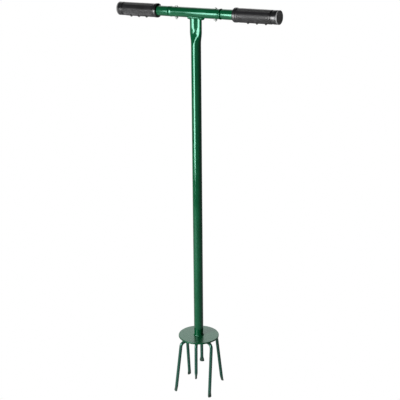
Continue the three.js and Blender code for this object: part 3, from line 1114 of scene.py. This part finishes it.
def grip_plastic():
    """Black moulded plastic with a fine grain."""
    material, tree, shader, where = start_material("grip plastic")
    skin = use_group(tree, grain, where, Size=1600.0)
    settled = use_group(tree, dust, where, Amount=0.03)
    wear = use_group(tree, edge_wear, where, Amount=0.3, Patch_Scale=300.0)
    tone = between(tree, skin.outputs["Tone"], 0.3, 0.7)
    colour = mix_colours(tree, tone, *grip_blacks)
    colour = mix_colours(tree, wear.outputs["Mask"], colour, grip_worn)
    colour = mix_colours(tree, settled.outputs["Mask"], colour, dust_colour)
    place_on = axes(tree, where)
    along = math_node(tree, "ABSOLUTE", place_on["X"])
    collar_end = grip_start + collar_length
    collar = between(tree, along, collar_end + polish_fade, collar_end)
    groove_start = groove_place - groove_half
    band = between(tree, along, groove_start - polish_fade, groove_start)
    polished = math_node(tree, "ADD", collar, band, clamp=True)
    upper = between(tree, place_on["Z"], bar_axis, bar_axis + 0.3 * grip_radius)
    rough = between(tree, skin.outputs["Tone"], 0.3, 0.7, 0.38, 0.48)
    rough = math_node(tree, "SUBTRACT", rough, math_node(tree, "MULTIPLY", upper, 0.1))
    rough = math_node(tree, "SUBTRACT", rough, math_node(tree, "MULTIPLY", polished, 0.08))
    # Painted sheen: the specular level is strong on the lower half of the grip and weak on the upper half,
    # tuned to match tone, not a property of the plastic. The export drops a linked specular level.
    painted_sheen = between(tree, upper, 0.0, 1.0, 0.6, 0.11)
    tree.links.new(painted_sheen, shader.inputs["Specular IOR Level"])
    shader.inputs["IOR"].default_value = plastic_ior
    link_finish(tree, shader, colour, rough, skin.outputs["Height"], 0.03 * MM)
    return material


def cap_plastic():
    """Satin dark grey plastic of the end plugs, darker where it is worn."""
    material, tree, shader, where = start_material("cap plastic")
    skin = use_group(tree, grain, where, Size=1900.0)
    wear = use_group(tree, edge_wear, where, Amount=0.35, Patch_Scale=300.0)
    tone = between(tree, skin.outputs["Tone"], 0.3, 0.7)
    colour = mix_colours(tree, tone, *cap_greys)
    colour = mix_colours(tree, wear.outputs["Mask"], colour, cap_worn)
    rough = between(tree, skin.outputs["Tone"], 0.3, 0.7, 0.36, 0.46)
    shader.inputs["IOR"].default_value = plastic_ior
    link_finish(tree, shader, colour, rough, skin.outputs["Height"], 0.02 * MM)
    return material


def bolt_zinc():
    """Zinc-plated steel, slightly clouded, with brighter worn corners."""
    material, tree, shader, where = start_material("bolt zinc")
    skin = use_group(tree, grain, where, Size=2200.0)
    wear = use_group(tree, edge_wear, where, Amount=0.6, Patch_Scale=500.0)
    tone = between(tree, skin.outputs["Tone"], 0.35, 0.65)
    colour = mix_colours(tree, tone, *zinc_greys)
    colour = mix_colours(tree, wear.outputs["Mask"], colour, zinc_worn)
    rough = between(tree, skin.outputs["Tone"], 0.3, 0.7, 0.28, 0.44)
    shader.inputs["Metallic"].default_value = 0.6
    link_finish(tree, shader, colour, rough, skin.outputs["Height"], 0.02 * MM)
    return material


coat = powder_coat("powder coat")
plate_coat = powder_coat("powder coat of the plate", gloss_low=plate_gloss)
outer_tine_coat = powder_coat("powder coat of the outer tines", rod_greens, tine_gloss, outer_low.z)
inner_tine_coat = powder_coat("powder coat of the inner tines", rod_greens, tine_gloss, inner_low.z)
grip_black = grip_plastic()
cap_grey = cap_plastic()
zinc = bolt_zinc()

# ---------------------------------------------------------------- assembly


def enter(piece, node, material):
    """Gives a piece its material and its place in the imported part."""
    piece.data.materials.clear()
    piece.data.materials.append(material)
    piece.name = node + "_look"
    piece.data.name = node + "_look"
    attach(piece, "root")
    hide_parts(node)


def build_handle():
    enter(make_shaft(), "shaft_tube", coat)
    enter(make_shaft_weld(), "shaft_weld", coat)
    enter(make_middle_tube(), "crossbar_middle_tube", coat)
    enter(make_crossbar_weld(), "crossbar_weld", coat)
    pairs = (
        (make_arm, "arm_tube", coat, "powder_coat"),
        (make_bolt, "arm_bolt", zinc, "bolt_steel"),
        (make_nut, "arm_nut", zinc, "bolt_steel"),
        (make_grip, "grip", grip_black, "grip_plastic"),
        (make_cap, "grip_cap", cap_grey, "cap_plastic"),
    )
    for make, node, material, slot in pairs:
        right = make()
        left = copy_of(right, node + "_left", FLIP)
        enter(right, node + "_right", material)
        enter(left, node + "_left", material)


def build_ground_end():
    enter(make_plate(), "ground_plate", plate_coat)
    outer_layout = (outer_leg_start, outer_elbow, outer_tip, outer_twist, outer_low.z, outer_tip_half_width)
    inner_layout = (inner_leg_start, inner_elbow, inner_tip, 0, inner_low.z, inner_tip_half_width)
    outer = make_tine("outer tine", *outer_layout)
    outer_bead = make_tine_weld("outer tine weld", outer_leg_start, outer_elbow)
    inner = make_tine("inner tine", *inner_layout)
    inner_turned = make_tine("inner tine, flat turned", *inner_layout, flat_turned=True)
    inner_bead = make_tine_weld("inner tine weld", inner_leg_start, inner_elbow)
    sets = (
        ([outer] * 4, outer_bead, "outer", outer_azimuth, outer_tine_coat),
        ([inner, inner_turned], inner_bead, "inner", outer_azimuth + inner_turn, inner_tine_coat),
    )
    for rods, bead, kind, azimuth, material in sets:
        for i, rod in enumerate(rods):
            turned = Matrix.Rotation(azimuth + math.tau * i / len(rods), 3, "Z")
            label = f"{kind}_{i + 1}"
            tine = copy_of(rod, "tine_" + label, turned)
            smooth(tine, 50)
            enter(tine, "tine_" + label, material)
            enter(copy_of(bead, "tine_weld_" + label, turned), "tine_weld_" + label, coat)
    for pattern in (outer, outer_bead, inner, inner_turned, inner_bead):
        bpy.data.objects.remove(pattern)


build_handle()
build_ground_end()

# ---------------------------------------------------------------- studio

camera_place = (1.1057, -1.7364, 1.1585)
camera_turn = math.radians(32.321)
camera_tilt = math.radians(90 - 17.753)
camera_roll = math.radians(-0.497)
camera_lens = 81.14
floor_size = 60
floor_grey = 0.55  # what the floor throws back on the tool
room_glow = 0.045
backdrop_glow = 2.0
backdrop_climb = 0.35  # how far the middle of the backdrop lies above level
softbox_depth = -1.4
softbox_turn = math.radians(-12)
softbox_watts_per_area = 70.0


def make_floor():
    """A wide pale floor that reads as plain white, but throws only a soft light back on the tool."""
    clear_selection()
    bpy.ops.mesh.primitive_plane_add(size=floor_size, location=(0, 0, 0))
    floor = bpy.context.object
    floor.name = "floor"
    material = bpy.data.materials.new("pale floor")
    material.use_nodes = True
    tree = material.node_tree
    tree.nodes.clear()
    output = tree.nodes.new("ShaderNodeOutputMaterial")
    seen = tree.nodes.new("ShaderNodeLightPath").outputs["Is Camera Ray"]
    matte = tree.nodes.new("ShaderNodeBsdfDiffuse")
    matte.inputs["Color"].default_value = (floor_grey, floor_grey, floor_grey, 1)
    white = tree.nodes.new("ShaderNodeEmission")
    white.inputs["Color"].default_value = (1, 1, 1, 1)
    white.inputs["Strength"].default_value = 1.0
    mix = tree.nodes.new("ShaderNodeMixShader")
    tree.links.new(seen, mix.inputs[0])
    tree.links.new(matte.outputs[0], mix.inputs[1])
    tree.links.new(white.outputs[0], mix.inputs[2])
    tree.links.new(mix.outputs[0], output.inputs["Surface"])
    floor.data.materials.append(material)


def make_surround():
    """A dim room with a bright backdrop behind the tool, seen by the camera as plain white."""
    world = bpy.data.worlds.new("studio")
    bpy.context.scene.world = world
    world.use_nodes = True
    tree = world.node_tree
    background = tree.nodes["Background"]
    direction = tree.nodes.new("ShaderNodeTexCoord").outputs["Generated"]
    away = tree.nodes.new("ShaderNodeVectorMath")
    away.operation = "DOT_PRODUCT"
    away.inputs[1].default_value = (-math.sin(camera_turn), math.cos(camera_turn), backdrop_climb)
    tree.links.new(direction, away.inputs[0])
    backdrop = between(tree, away.outputs["Value"], 0.7, 1.0, room_glow, backdrop_glow)
    seen = tree.nodes.new("ShaderNodeLightPath").outputs["Is Camera Ray"]
    strength = tree.nodes.new("ShaderNodeMix")
    tree.links.new(seen, strength.inputs["Factor"])
    tree.links.new(backdrop, strength.inputs["A"])
    strength.inputs["B"].default_value = 1.0
    tree.links.new(strength.outputs["Result"], background.inputs["Strength"])
    background.inputs["Color"].default_value = (1, 1, 1, 1)


def make_softbox(name, left, right, low, high):
    """A soft panel in front of the tool, to the left, that lights it and draws its highlights."""
    panel = bpy.data.lights.new(name, "AREA")
    panel.shape = "RECTANGLE"
    panel.size = right - left
    panel.size_y = high - low
    panel.energy = softbox_watts_per_area * panel.size * panel.size_y
    lamp = bpy.data.objects.new(name, panel)
    lamp.location = ((left + right) / 2, softbox_depth, (low + high) / 2)
    lamp.rotation_euler = (math.radians(90), 0, softbox_turn)
    lamp.visible_camera = False
    bpy.context.collection.objects.link(lamp)


def make_camera():
    data = bpy.data.cameras.new("camera")
    data.lens = camera_lens
    data.sensor_width = 36
    data.clip_end = 100
    camera = bpy.data.objects.new("camera", data)
    bpy.context.collection.objects.link(camera)
    turned = Matrix.Rotation(camera_turn, 4, "Z")
    tilted = Matrix.Rotation(camera_tilt, 4, "X")
    rolled = Matrix.Rotation(camera_roll, 4, "Z")
    camera.matrix_world = Matrix.Translation(camera_place) @ turned @ tilted @ rolled
    bpy.context.scene.camera = camera


make_floor()
make_surround()
make_softbox("tall softbox", -0.86, -0.15, 0.2, 1.15)
make_softbox("high softbox", -0.42, -0.15, 1.15, 1.6)
make_camera()
bpy.context.scene.view_settings.view_transform = "Standard"
